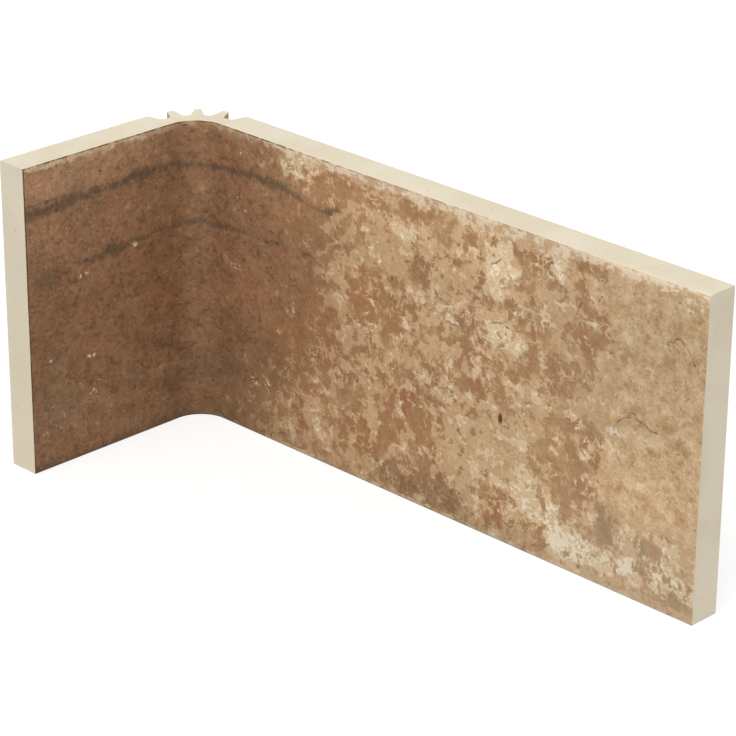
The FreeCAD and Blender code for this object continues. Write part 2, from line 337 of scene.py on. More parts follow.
def crackSides(s, z, cracks):
    # distance to the nearest crack, with a sign for its side, and 1 beside a crack and 0 elsewhere
    nearest = np.full(s.shape, 9.0)
    beside = np.zeros_like(s)
    for crack in cracks:
        for n, ((s0, z0), (s1, z1)) in enumerate(zip(crack, crack[1:])):
            long = math.hypot(s1 - s0, z1 - z0)
            alongS, alongZ = (s1 - s0) / long, (z1 - z0) / long
            along = (s - s0) * alongS + (z - z0) * alongZ
            side = (z - z0) * alongS - (s - s0) * alongZ
            past = np.maximum(0, np.maximum(-along, along - long))
            away = np.hypot(side, past)
            closer = away < np.abs(nearest)
            nearest = np.where(closer, np.where(side < 0, -away, away), nearest)
            inner = (past == 0) | (n > 0) & (along < 0) | (n < len(crack) - 2) & (along > long)
            beside = np.where(closer, np.where(inner, 1.0, 1 - softStep(past, 0.1, 0.5)), beside)
    return np.clip(nearest, -2, 2), beside * (np.abs(nearest) < 0.8)


def paintWear(s, z):
    # what the glaze's material and relief need to know at each point of the face
    bentS = s + 1.3 * clouds(s, z, 3.6, 4, 1)
    bentZ = z + 1.1 * clouds(s, z, 3.6, 4, 2)
    raggedS = bentS + 0.8 * clouds(s, z, 1.5, 3, 21)
    raggedZ = bentZ + 0.8 * clouds(s, z, 1.5, 3, 22)
    border = np.interp(z, wear["borderHeights"], wear["borderPlaces"])
    past = s - border + 5 * clouds(s, z, 14, 3, 3)
    swayed = s + 3 * clouds(s, z, 6, 3, 16)
    tone = np.interp(past, wear["fadePlaces"], wear["fades"])
    tone += np.interp(swayed, wear["tonePlaces"], wear["tones"])
    tone += 0.05 * clouds(s, z, 5.2, 4, 4)
    cream = np.tanh(addOvals(bentS, bentZ, wear["creamOvals"]))
    browned = np.tanh(addOvals(raggedS, raggedZ, wear["brownOvals"]))
    paled = np.tanh(addOvals(bentS, bentZ, wear["tanOvals"]) + cream)
    tone += wear["paling"] * paled * (1 - 0.6 * browned)
    limed = softStep(swayed, 158, 178) * softStep(z + 4 * clouds(s, z, 6, 2, 19), 19, 9)
    tone += limed * (wear["limeTone"] - tone)
    tone -= wear["browning"] * browned * (1 + (1.6 - 0.8 * limed) * softStep(s, 146, 182))
    smokedS, smokedZ = s + 0.5 * clouds(s, z, 2.2, 3, 9), z + 0.55 * clouds(s, z, 2.4, 3, 10)
    scratchedS = s + 0.3 * clouds(s, z, 1.4, 2, 20)
    layers = {
        "tone": tone,
        "cream": np.interp(s, wear["creamPlaces"], wear["creams"]) + wear["creaming"] * cream
        + wear["chalking"] * addOvals(bentS, bentZ, wear["chalkOvals"]),
        "aged": softStep(past + 4 * clouds(s, z, 5, 3, 6), -30, 14),
        "toneAndPaintedLight": addOvals(bentS, bentZ, wear["toneAndPaintedLightOvals"]),
        "warm": addOvals(s, z, wear["warmOvals"]) + 0.5 * clouds(s, z, 11, 2, 7),
        "fleck": addOvals(s + 0.3 * clouds(s, z, 0.9, 2, 8), z, wear["fleckOvals"])
        + wear["scratching"] * drawLines(scratchedS, z, wear["scratches"]),
        "smoke": drawLines(smokedS, smokedZ, wear["smokeLines"]),
        "pit": addOvals(s, z, wear["pits"]),
    }
    crookedS, crookedZ = s + 0.22 * clouds(s, z, 1.2, 2, 17), z + 0.22 * clouds(s, z, 1.2, 2, 18)
    layers["crackSide"], layers["crackOn"] = crackSides(crookedS, crookedZ, wear["cracks"])
    return layers


def arrisRound(s):
    # radius of the top edge's rounding at each place along the glaze
    soft = tile["arris"] + 0.22 * np.clip(clouds(s, s * 0, 3.0, 3, 11), 0, 1)
    for place, reach, extra in wear["nicks"]:
        soft += extra * np.exp(-((s - place) / reach) ** 2)
    rubbed = softStep(s + 4 * clouds(s, s * 0, 6.0, 2, 12), *wear["rubbed"])
    return soft + rubbed * (tile["wornArris"] - soft) * (0.8 + 0.35 * clouds(s, s * 0, 4.0, 3, 13))


def roundOver(fromEdge, depth, radius):
    # moves a point near a square edge onto its rounding: its distance from the edge and its depth
    inside = min(fromEdge, depth)
    bend = radius - inside
    if abs(depth - fromEdge) >= bend:
        return fromEdge, depth
    angle = math.pi / 4 * (1 + (depth - fromEdge) / bend)
    return inside + bend * (1 - math.sin(angle)), inside + bend * (1 - math.cos(angle))


def relief(s, z, layers):
    # how far the glaze stands proud, in millimetres
    flaked = softStep(layers["tone"], 0.62, 0.38)
    rise = wear["waves"] * clouds(s, z, 16, 3, 14) + wear["grain"] * clouds(s, z, 1.6, 3, 15)
    rise += wear["skinStep"] * (1 - flaked) * layers["aged"] + wear["fleckRise"] * layers["fleck"]
    rise -= wear["smokeDip"] * layers["smoke"] + wear["pitDepth"] * layers["pit"]
    sunk = np.exp(-(layers["crackSide"] / wear["crackWidth"]) ** 2)
    return rise - wear["crackDepth"] * layers["crackOn"] * sunk


print("reading the back of the tile")
outline = backOutline()

print("painting the wear")
columns = steps(glazeRun, tile["cell"], (0.05, 0.12))
rows = steps(height, tile["cell"], (0.1, 0.2, 0.32))
faceS, faceZ = np.meshgrid(columns, rows, indexing="ij")
layers = paintWear(faceS, faceZ)
proud = relief(faceS, faceZ, layers).tolist()
layers = {name: layer.tolist() for name, layer in layers.items()}
topRadius = arrisRound(columns).tolist()
columns, rows = columns.tolist(), rows.tolist()
lastColumn, lastRow = len(columns) - 1, len(rows) - 1
depths = (0.0,) + tile["rimDepths"]
lastDepth = len(depths) - 1


def shellPoint(i, j, k):
    # a point of the glazed face (k = 0) or of the rim behind its edges, in metres
    s, z, depth = columns[i], rows[j], depths[k]
    topGap, topDepth = roundOver(height - z, depth, topRadius[i])
    footGap, footDepth = roundOver(z, depth, tile["arris"])
    startGap, startDepth = roundOver(s, depth, tile["endArris"])
    endGap, endDepth = roundOver(glazeRun - s, depth, tile["endArris"])
    z = height - topGap if z > height / 2 else footGap
    s = startGap if s < glazeRun / 2 else glazeRun - endGap
    depth = max(topDepth, footDepth, startDepth, endDepth)
    fade = (1 - k / lastDepth) * min(1, max(topGap, 0.1), max(footGap, 0.1))
    point, inward = glazeLine(s)
    point = point + inward * (depth - proud[i][j] * fade)
    return Vector((min(point.x, boxHigh.x), max(point.y, boxLow.y), min(z, height))) * mm


# where each part lies on the unwrapped sheet, which is 1 by 1: left, bottom and size of a millimetre
sheetPlaces = {
    "face": (0.018, 0.615, 0.00475),
    "back": (0.018, 0.235, 0.00475),
    "top": (0.018, 0.02, 0.0028),
    "bottom": (0.5, 0.02, 0.0028),
    "longEnd": (0.018, 0.195, 0.0028),
    "shortEnd": (0.5, 0.195, 0.0028),
}


def unwrap(part, across, up):
    left, bottom, scale = sheetPlaces[part]
    return left + across * scale, bottom + up * scale


def makeTile():
    # one closed body: glazed face, rims behind its four edges, bare ends, back, top and bottom
    bm = bmesh.new()
    marks = {name: bm.verts.layers.float.new(name) for name in layers}
    place = bm.verts.layers.float_vector.new("place")
    sheet = bm.loops.layers.uv.new("OFBake")
    shell = {}

    def vert(i, j, k):
        if (i, j, k) not in shell:
            v = bm.verts.new(shellPoint(i, j, k))
            for name, mark in marks.items():
                v[mark] = layers[name][i][j]
            v[place] = (columns[i], rows[j], depths[k])
            shell[i, j, k] = v
        return shell[i, j, k]

    def quad(corners, material):
        face = bm.faces.new([vert(*c) for c in corners])
        face.material_index = material
        face.smooth = True
        for loop, (i, j, k) in zip(face.loops, corners):
            across = depths[k] * ((i == lastColumn) - (i == 0))
            up = depths[k] * ((j == lastRow) - (j == 0))
            loop[sheet].uv = unwrap("face", columns[i] + across, rows[j] + up)

    for i in range(lastColumn):
        for j in range(lastRow):
            quad([(i, j, 0), (i + 1, j, 0), (i + 1, j + 1, 0), (i, j + 1, 0)], 0)
    top, end = lastRow, lastColumn
    for k in range(lastDepth):
        bare = int(k > 0)              # the glaze reaches over the edges by one row
        for i in range(lastColumn):
            quad([(i, top, k), (i + 1, top, k), (i + 1, top, k + 1), (i, top, k + 1)], bare)
            quad([(i + 1, 0, k), (i, 0, k), (i, 0, k + 1), (i + 1, 0, k + 1)], bare)
        for j in range(lastRow):
            quad([(0, j, k), (0, j + 1, k), (0, j + 1, k + 1), (0, j, k + 1)], bare)
            quad([(end, j + 1, k), (end, j, k), (end, j, k + 1), (end, j + 1, k + 1)], bare)

    levels = np.linspace(0, height, tile["wallRows"] + 1)
    back = [[bm.verts.new(Vector((p.x, p.y, z)) * mm) for z in levels] for p in outline]
    run = [0.0]
    for p, q in zip(outline, outline[1:]):
        run.append(run[-1] + (q - p).length)
    for n, (left, right) in enumerate(zip(back, back[1:])):
        for m in range(tile["wallRows"]):
            face = bm.faces.new((left[m], right[m], right[m + 1], left[m + 1]))
            face.material_index = 1
            face.smooth = True
            corners = ((n, m), (n + 1, m), (n + 1, m + 1), (n, m + 1))
            for loop, (a, b) in zip(face.loops, corners):
                loop[sheet].uv = unwrap("back", run[a] * glazeRun / run[-1], levels[b])

    lids = {
        "top": [vert(i, lastRow, lastDepth) for i in range(lastColumn + 1)] + [way[-1] for way in back],
        "bottom": [vert(i, 0, lastDepth) for i in range(lastColumn + 1)] + [way[0] for way in back],
        "longEnd": [vert(lastColumn, j, lastDepth) for j in range(lastRow + 1)] + back[0][::-1],
        "shortEnd": [vert(0, j, lastDepth) for j in range(lastRow + 1)] + back[-1][::-1],
    }
    for name, corners in lids.items():
        face = bm.faces.new(corners)
        face.material_index = 1
        face.normal_update()
        for loop in face.loops:
            x, y, z = (loop.vert.co - low) / mm
            across, up = {"top": (x, y), "bottom": (x, y), "longEnd": (z, y), "shortEnd": (z, x)}[name]
            loop[sheet].uv = unwrap(name, across, up)
    bmesh.ops.triangulate(bm, faces=[f for f in bm.faces if len(f.verts) > 4])
    bmesh.ops.recalc_face_normals(bm, faces=bm.faces)
    print("  faces", len(bm.faces), "open edges", sum(not e.is_manifold for e in bm.edges))
    mesh = bpy.data.meshes.new("corner_tile_fired")
    bm.to_mesh(mesh)
    bm.free()
    mesh.set_sharp_from_angle(angle=math.radians(tile["sharpAngle"]))
    piece = bpy.data.objects.new("corner_tile_fired", mesh)
    bpy.context.collection.objects.link(piece)
    return piece


def paint(red, green, blue):
    # a colour written as on screen, 0 to 255, as the nodes take it
    shares = [c / 255 for c in (red, green, blue)]
    return tuple(c / 12.92 if c <= 0.04045 else ((c + 0.055) / 1.055) ** 2.4 for c in shares) + (1.0,)


# Small helpers for the node trees. A value is a number, a colour or another node's output.
def put(tree, kind, inputs, **settings):
    node = tree.nodes.new(kind)
    for name, value in settings.items():
        setattr(node, name, value)
    for name, value in inputs.items():
        if isinstance(value, bpy.types.NodeSocket):
            tree.links.new(value, node.inputs[name])
        else:
            node.inputs[name].default_value = value
    return node


def calc(tree, operation, first, second=0.0):
    return put(tree, "ShaderNodeMath", {0: first, 1: second}, operation=operation).outputs[0]


def times(tree, first, second):
    return calc(tree, "MULTIPLY", first, second)


def between(tree, value, start, end, lowest=0.0, highest=1.0):
    # runs softly from lowest to highest while the value goes from start to end
    ends = {"Value": value, "From Min": start, "From Max": end, "To Min": lowest, "To Max": highest}
    return put(tree, "ShaderNodeMapRange", ends, interpolation_type="SMOOTHSTEP").outputs["Result"]


def blend(tree, share, first, second):
    return put(tree, "ShaderNodeMix", {0: share, 6: first, 7: second}, data_type="RGBA").outputs[2]


def grain(tree, where, size, detail=3.0, rough=0.55, twist=0.0):
    # layered noise round 0.5, with its largest shapes size across, in the units of where
    ends = {"Vector": where, "Scale": 1 / size, "Detail": detail, "Roughness": rough,
            "Distortion": twist}
    return put(tree, "ShaderNodeTexNoise", ends).outputs["Fac"]


def mark(tree, name, output="Fac"):
    return put(tree, "ShaderNodeAttribute", {}, attribute_name=name).outputs[output]


def ramp(tree, value, stops):
    # colours at places from 0 to 1, running straight from each to the next
    node = put(tree, "ShaderNodeValToRGB", {0: value})
    elements = node.color_ramp.elements
    for n, (place, colour) in enumerate(stops):
        element = elements[n] if n < 2 else elements.new(place)
        element.position = place
        element.color = colour
    return node.outputs[0]


def about(tree, base, *parts):
    # base plus each noise's swing round its middle, times its amount
    total = base
    for noiseValue, amount in parts:
        ends = {0: noiseValue, 1: amount, 2: total}
        total = put(tree, "ShaderNodeMath", ends, operation="MULTIPLY_ADD").outputs[0]
    return calc(tree, "SUBTRACT", total, sum(amount for noiseValue, amount in parts) / 2)


def newMaterial(name):
    material = bpy.data.materials.new(name)
    material.use_nodes = True
    tree = material.node_tree
    return material, tree, tree.nodes["Principled BSDF"]


glaze = {
    # the brown skin, from its darkest to its palest, and the pale patches in it
    "skin": ((0.0, paint(88, 62, 42)), (0.3, paint(121, 87, 60)), (0.5, paint(143, 107, 78)),
             (0.7, paint(156, 120, 90)), (1.0, paint(176, 140, 110))),
    "skinPatch": paint(174, 137, 103),
    # where it flakes: browns
    "flake": ((0.0, paint(142, 102, 67)), (0.3, paint(162, 121, 84)), (0.5, paint(171, 131, 93)),
              (0.7, paint(181, 144, 105)), (1.0, paint(196, 162, 123))),
    # what shows between the flakes
    "tan": ((0.0, paint(184, 146, 108)), (0.4, paint(199, 163, 124)), (0.6, paint(209, 175, 136)),
            (1.0, paint(223, 194, 155))),
    "cream": ((0.0, paint(210, 178, 138)), (0.4, paint(219, 190, 152)), (0.6, paint(225, 199, 161)),
              (1.0, paint(232, 211, 175))),
    "sand": ((0.0, paint(162, 123, 84)), (0.3, paint(191, 155, 114)), (0.5, paint(209, 176, 137)),
             (0.7, paint(221, 193, 155)), (1.0, paint(237, 214, 180))),
    "chalk": paint(243, 230, 204),
    "speck": paint(168, 129, 90),
    "nick": paint(72, 48, 32),
    "red": paint(164, 108, 72),
    "grey": paint(124, 106, 82),
    "smoke": paint(82, 74, 61),
    "pit": paint(66, 48, 33),
    "crack": paint(116, 78, 46),
    "fleck": paint(230, 214, 192),
    "glow": paint(206, 174, 138),
    "worn": paint(240, 217, 186),
    "bare": paint(228, 210, 180),
    # dark edge lines; the one along the foot is painted contact shadow
    "edge": paint(62, 47, 35),
    "foot": paint(214, 196, 168),
    "dust": paint(168, 146, 118),
    "lime": paint(214, 200, 172),
    # the broad lighter areas are partly the glaze's own tone, partly painted light that lifts the shade
    # near the bend
    "lighting": 0.45,                     # how far the broad light areas brighten
    "fading": 0.03,                       # and how much colour they lose
    "roughness": (0.6, 0.76),             # skin, flaking ground
    "shine": 0.1,
    "bump": 0.35,
    "bumpDepth": 0.2,                     # millimetres
}


def stretched(tree, where, turn, across, up):
    # the place turned and drawn out, so that a noise grown on it comes out longer across or up
    ends = {"Vector": where, "Rotation": (0, 0, turn), "Scale": (across, up, 1)}
    return put(tree, "ShaderNodeMapping", ends, vector_type="TEXTURE").outputs[0]


def ridge(tree, value, reach):
    # thin lines where a noise passes its middle
    away = calc(tree, "ABSOLUTE", calc(tree, "SUBTRACT", value, 0.5))
    return between(tree, away, reach, reach * 0.4)


def glazeGrains(tree, place):
    # the noises that the glaze's colours share, from fine to broad
    ends = {"Vector": place, "Scale": 0.5, "Detail": 2.0, "Roughness": 0.5}
    bend = put(tree, "ShaderNodeTexNoise", ends)
    ends = {0: bend.outputs["Color"], 1: (2.2, 2.2, 0)}
    sway = put(tree, "ShaderNodeVectorMath", ends, operation="MULTIPLY")
    curled = put(tree, "ShaderNodeVectorMath", {0: place, 1: sway.outputs[0]}).outputs[0]
    upright = ridge(tree, grain(tree, stretched(tree, curled, 0.05, 0.7, 1.6), 3.2, 1.0, 0.5), 0.035)
    level = ridge(tree, grain(tree, stretched(tree, curled, -0.1, 1.5, 0.7), 3.2, 1.0, 0.5), 0.035)
    return {
        "fine": grain(tree, place, 0.7, 3.0, 0.6),
        "dots": grain(tree, stretched(tree, place, -0.3, 1.2, 0.8), 1.1, 0.5, 0.5, 0.4),
        "bits": grain(tree, curled, 1.4, 1.6, 0.5),
        "crumbs": grain(tree, place, 1.6, 4.0, 0.6, 0.4),
        "strokes": grain(tree, stretched(tree, place, -0.3, 1.25, 0.9), 1.3, 3.0, 0.55, 1.6),
        "blobs": grain(tree, stretched(tree, curled, 0, 0.95, 1.15), 3.0, 1.6, 0.5),
        "patches": grain(tree, curled, 4.6, 2.4, 0.5),
        "mottle": grain(tree, place, 6.0, 5.0, 0.65, 0.5),
        "drift": grain(tree, place, 11.0, 3.0, 0.5),
        "net": calc(tree, "MAXIMUM", upright, level),
    }


def brownColours(tree, n, along, aged):
    # the skin's browns on the left, the flakes' browns on the right
    skinTone = about(tree, 0.5, (n["fine"], 0.4), (n["strokes"], 0.55), (n["bits"], 0.55),
                     (n["blobs"], 0.4), (n["patches"], 0.2), (n["mottle"], 0.6))
    flakeTone = about(tree, between(tree, along, 110, 172, 0.5, 0.7), (n["fine"], 0.5),
                      (n["strokes"], 0.6), (n["bits"], 0.4), (n["blobs"], 0.7), (n["drift"], 0.8))
    colour = blend(tree, aged, ramp(tree, skinTone, glaze["skin"]),
                   ramp(tree, flakeTone, glaze["flake"]))
    redness = about(tree, mark(tree, "warm"), (n["drift"], 1.2), (n["mottle"], 1.4),
                    (n["patches"], 1.2))
    colour = blend(tree, between(tree, redness, 0.05, 1.1, 0.0, 0.45), colour, glaze["red"])
    colour = blend(tree, between(tree, redness, -0.1, -1.1, 0.0, 0.5), colour, glaze["grey"])
    nicks = times(tree, between(tree, n["dots"], 0.62, 0.7), between(tree, n["crumbs"], 0.49, 0.6))
    nicks = times(tree, nicks, between(tree, aged, 0.2, 1.0, 0.6, 0.15))
    colour = blend(tree, nicks, colour, glaze["nick"])
    hairs = times(tree, ridge(tree, n["bits"], 0.035), between(tree, n["crumbs"], 0.48, 0.6))
    return blend(tree, times(tree, hairs, 0.5), colour, glaze["skinPatch"])


def paleColours(tree, n, along, calm):
    # tan with brown specks, cream and chalk, and an even sandy ground towards the long leg's end
    rising = between(tree, along, 85, 140, 0.36, 0.58)
    groundTone = about(tree, rising, (n["fine"], 0.5), (n["strokes"], 0.8), (n["bits"], 0.5),
                       (n["mottle"], 1.3))
    colour = ramp(tree, groundTone, glaze["tan"])
    sandTone = about(tree, 0.5, (n["strokes"], 0.45), (n["fine"], 0.55), (n["bits"], 0.45),
                     (n["crumbs"], 0.5), (n["blobs"], 0.6), (n["patches"], 0.8), (n["mottle"], 0.6))
    sand = ramp(tree, sandTone, glaze["sand"])
    crumbled = between(tree, n["crumbs"], 0.5, 0.6, 0.0, 0.5)
    curls = times(tree, ridge(tree, n["bits"], 0.03), crumbled)
    sand = blend(tree, curls, sand, glaze["cream"][1][1])
    rings = ridge(tree, n["patches"], 0.014)
    rings = times(tree, rings, between(tree, n["crumbs"], 0.5, 0.58, 0.0, 0.7))
    sand = blend(tree, rings, sand, glaze["speck"])
    dots = between(tree, n["dots"], 0.62, 0.7)
    dots = times(tree, dots, between(tree, n["crumbs"], 0.49, 0.58, 0.0, 0.4))
    sand = blend(tree, dots, sand, glaze["flake"][0][1])
    colour = blend(tree, calm, colour, sand)
    creamy = about(tree, mark(tree, "cream"), (n["patches"], 1.5), (n["bits"], 0.7))
    colour = blend(tree, between(tree, creamy, 0.46, 0.51), colour,
                   ramp(tree, groundTone, glaze["cream"]))
    chalky = about(tree, creamy, (n["bits"], 1.2), (n["fine"], 0.8))
    colour = blend(tree, between(tree, chalky, 0.82, 0.96, 0.0, 0.9), colour, glaze["chalk"])
    specks = between(tree, n["strokes"], 0.57, 0.64)
    specks = times(tree, specks, between(tree, n["mottle"], 0.38, 0.56, 0.2, 0.7))
    specks = times(tree, specks, between(tree, calm, 0, 1, 1.0, 0.2))
    return blend(tree, specks, colour, glaze["speck"])


def addMarks(tree, n, place, colour):
    # smoke, cracks, pits and chalky flecks
    wisps = grain(tree, stretched(tree, place, 0.25, 0.7, 1.3), 1.2, 4.0, 0.6, 0.6)
    smoke = about(tree, mark(tree, "smoke"), (n["crumbs"], 0.6), (wisps, 1.3))
    colour = blend(tree, between(tree, smoke, 0.1, 0.85, 0.0, 0.7), colour, glaze["smoke"])
    hair = between(tree, calc(tree, "ABSOLUTE", mark(tree, "crackSide")), 0.3, 0.06)
    hair = times(tree, hair, mark(tree, "crackOn"))
    hair = times(tree, hair, between(tree, n["crumbs"], 0.38, 0.56, 0.1, 0.85))
    colour = blend(tree, hair, colour, glaze["crack"])
    colour = blend(tree, between(tree, mark(tree, "pit"), 0.15, 0.9, 0.0, 0.9), colour, glaze["pit"])
    broken = between(tree, about(tree, 0.5, (n["fine"], 1.8), (n["bits"], 0.8)), 0.36, 0.56, 0.15, 1.0)
    fleck = times(tree, mark(tree, "fleck"), broken)
    return blend(tree, between(tree, fleck, 0.15, 0.55, 0.0, 0.85), colour, glaze["fleck"])


def topAndFoot(tree, n, place, along, up, colour):
    # under the top edge: a rubbed band, a dark line along the arris, and bare clay where it is worn
    fromTop = calc(tree, "SUBTRACT", height, up)
    wavy = grain(tree, stretched(tree, place, 0, 2, 1), 3.2, 4.0, 0.6)
    lower = about(tree, fromTop, (wavy, 5.0), (n["blobs"], 3.2), (n["crumbs"], 2.6))
    glow = times(tree, between(tree, lower, 3.6, 0.2), between(tree, n["drift"], 0.4, 0.6, 0.1, 0.6))
    colour = blend(tree, times(tree, glow, 0.9), colour, glaze["glow"])
    paler = about(tree, 0.5, (n["patches"], 1.4), (n["crumbs"], 0.8), (n["bits"], 1.4))
    paler = between(tree, paler, 0.3, 0.6)
    paler = times(tree, paler, between(tree, along, 50, 90, 0.6, 1.0))
    worn = blend(tree, paler, glaze["glow"], glaze["worn"])
    reach = calc(tree, "MAXIMUM", between(tree, along, 60, 110, 0.1, 1.2),
                 between(tree, along, 44, 30, 0.1, 0.6))
    band = between(tree, calc(tree, "SUBTRACT", lower, reach), 1.3, 0.5)
    shown = calc(tree, "MAXIMUM", between(tree, along, 44, 34, 0.4, 0.85),
                 between(tree, along, 56, 90, 0.4, 1.0))
    band = times(tree, band, shown)
    band = times(tree, band, between(tree, n["fine"], 0.32, 0.5, 0.5, 1.0))
    colour = blend(tree, band, colour, worn)
    sunk = between(tree, along, 150, 180, -0.8, 0.1)
    edge = times(tree, between(tree, fromTop, 0.34, 0.2), between(tree, along, 70, 130, 0.85, 0.3))
    edge = times(tree, edge, between(tree, n["blobs"], 0.4, 0.55, 0.4, 1.0))
    colour = blend(tree, edge, colour, glaze["edge"])
    bare = between(tree, calc(tree, "SUBTRACT", lower, sunk), 0.5, -0.3)
    colour = blend(tree, times(tree, bare, shown), colour, glaze["bare"])

    # the foot: sooty on the left, dusty on the right, with a dark line along the edge; along the foot
    # that line is painted contact shadow
    wander = about(tree, up, (n["crumbs"], 1.6), (n["blobs"], 1.8))
    soot = times(tree, between(tree, wander, 2.6, 0.4), between(tree, along, 52, 78, 0.42, 0.0))
    colour = blend(tree, soot, colour, glaze["smoke"])
    dust = times(tree, between(tree, up, 5, 0.5), between(tree, along, 60, 110, 0.0, 0.3))
    dust = times(tree, dust, between(tree, n["mottle"], 0.35, 0.6, 0.2, 1.0))
    colour = blend(tree, dust, colour, glaze["dust"])
    film = between(tree, about(tree, up, (n["mottle"], 20.0)), 24, 8)
    film = times(tree, film, between(tree, along, 150, 182, 0.0, 0.22))
    colour = blend(tree, film, colour, glaze["lime"])
    chalky = times(tree, between(tree, wander, 0.9, 0.5), between(tree, along, 40, 100, 0.0, 0.8))
    chalky = times(tree, chalky, between(tree, n["patches"], 0.42, 0.54, 0.1, 1.0))
    colour = blend(tree, chalky, colour, glaze["foot"])
    # painted contact shadow: a dark line along the foot, joined by the dark line up the short leg's end
    foot = times(tree, between(tree, up, 0.42, 0.2), between(tree, along, 120, 185, 0.75, 0.15))
    side = times(tree, between(tree, along, 0.45, 0.15), between(tree, n["blobs"], 0.4, 0.6, 0.3, 0.8))
    return blend(tree, calc(tree, "MAXIMUM", foot, side), colour, glaze["edge"])


def makeGlaze():
    material, tree, shader = newMaterial("agedGlaze")
    place = mark(tree, "place", "Vector")
    split = put(tree, "ShaderNodeSeparateXYZ", {0: place})
    along, up = split.outputs[0], split.outputs[1]
    n = glazeGrains(tree, place)
    aged = mark(tree, "aged")
    calm = between(tree, about(tree, along, (n["mottle"], 24.0), (n["blobs"], 10.0)), 171, 178)
    aboveFoot = between(tree, about(tree, up, (n["mottle"], 24.0), (n["blobs"], 10.0)), 15, 22)
    calm = times(tree, calm, aboveFoot)
    browns = brownColours(tree, n, along, aged)
    pale = blend(tree, aged, glaze["skinPatch"], paleColours(tree, n, along, calm))

    # flakes of many sizes with pale lines between them
    share = about(tree, mark(tree, "tone"), (n["patches"], 1.0), (n["blobs"], 1.25),
                  (n["bits"], 0.5), (n["fine"], 0.1))
    lines = times(tree, n["net"], between(tree, n["mottle"], 0.38, 0.54, 0.0, 0.24))
    lines = times(tree, lines, between(tree, along, 120, 160, 1.0, 1.4))
    share = calc(tree, "ADD", share, lines)
    bared = between(tree, share, 0.47, 0.55)
    halfBared = between(tree, share, 0.38, 0.45, 0.0, 0.3)
    colour = blend(tree, calc(tree, "MAXIMUM", bared, halfBared), browns, pale)

    # broad lighter and darker areas, partly the glaze's own tone and partly painted light that lifts
    # the shade near the bend, and a fine grain
    toneAndPaintedLight = about(tree, mark(tree, "toneAndPaintedLight"), (n["fine"], 0.3), (n["crumbs"], 0.3))
    shade = {"Color": colour, "Value": calc(tree, "ADD", times(tree, toneAndPaintedLight, glaze["lighting"]), 1.0),
             "Saturation": calc(tree, "SUBTRACT", 1.0, times(tree, toneAndPaintedLight, glaze["fading"]))}
    colour = put(tree, "ShaderNodeHueSaturation", shade).outputs[0]
    colour = addMarks(tree, n, place, colour)
    colour = topAndFoot(tree, n, place, along, up, colour)
    tree.links.new(colour, shader.inputs["Base Color"])

    skinRough, groundRough = glaze["roughness"]
    rough = between(tree, about(tree, bared, (n["fine"], 1.0)), 0.0, 1.0, skinRough, groundRough)
    tree.links.new(rough, shader.inputs["Roughness"])
    shader.inputs["Specular IOR Level"].default_value = glaze["shine"]
    rise = about(tree, 0.0, (n["crumbs"], 0.6), (n["fine"], 0.5), (bared, -0.3))
    ends = {"Height": rise, "Strength": glaze["bump"], "Distance": glaze["bumpDepth"] * mm}
    bump = put(tree, "ShaderNodeBump", ends)
    tree.links.new(bump.outputs[0], shader.inputs["Normal"])
    return material


clay = {
    "body": paint(228, 216, 191),
    "pale": paint(234, 223, 200),
    "dull": paint(214, 200, 174),
    "grit": paint(200, 184, 156),
    # painted shade for the grooves' upright faces
    "groove": paint(158, 147, 122),
    "roughness": (0.72, 0.86),
    "shine": 0.15,
    "bump": 0.18,
    "bumpDepth": 0.15,
}


def makeClay():
    material, tree, shader = newMaterial("bareClay")
    where = put(tree, "ShaderNodeTexCoord", {}).outputs["Object"]
    cloud = grain(tree, where, 14 * mm, 4.0, 0.55)
    sand = grain(tree, where, 0.7 * mm, 3.0, 0.6)
    colour = blend(tree, between(tree, cloud, 0.35, 0.65), clay["body"], clay["pale"])
    colour = blend(tree, between(tree, sand, 0.5, 0.34, 0.0, 0.22), colour, clay["dull"])
    grit = between(tree, grain(tree, where, 1.6 * mm, 2.0, 0.5), 0.7, 0.76, 0.0, 0.5)
    colour = blend(tree, grit, colour, clay["grit"])
    # painted shade in the grooves: upright faces nearer to the bend's axis than the back is
    split = put(tree, "ShaderNodeSeparateXYZ", {0: where})
    axisX, axisY = glazeX + tile["bendRadius"], glazeY - tile["bendRadius"]
    west = calc(tree, "SUBTRACT", axisX * mm, split.outputs[0])
    north = calc(tree, "SUBTRACT", split.outputs[1], axisY * mm)
    away = calc(tree, "ADD", times(tree, west, west), times(tree, north, north))
    away = calc(tree, "SQRT", away)
    back = (tile["bendRadius"] + tile["thickness"]) * mm
    normal = put(tree, "ShaderNodeNewGeometry", {}).outputs["Normal"]
    facing = put(tree, "ShaderNodeSeparateXYZ", {0: normal})
    upright = between(tree, calc(tree, "ABSOLUTE", facing.outputs[2]), 0.6, 0.2)
    inside = times(tree, between(tree, away, back - 0.1 * mm, back - 1.2 * mm, 0.0, 0.75), upright)
    cut = times(tree, calc(tree, "GREATER_THAN", west, -1.5 * mm),
                calc(tree, "GREATER_THAN", north, -1.5 * mm))
    colour = blend(tree, times(tree, inside, cut), colour, clay["groove"])
    tree.links.new(colour, shader.inputs["Base Color"])
    smoothest, roughest = clay["roughness"]
    tree.links.new(between(tree, sand, 0.3, 0.7, smoothest, roughest), shader.inputs["Roughness"])
    shader.inputs["Specular IOR Level"].default_value = clay["shine"]
    rise = calc(tree, "ADD", sand, times(tree, cloud, 0.5))
    ends = {"Height": rise, "Strength": clay["bump"], "Distance": clay["bumpDepth"] * mm}
    bump = put(tree, "ShaderNodeBump", ends)
    tree.links.new(bump.outputs[0], shader.inputs["Normal"])
    return material


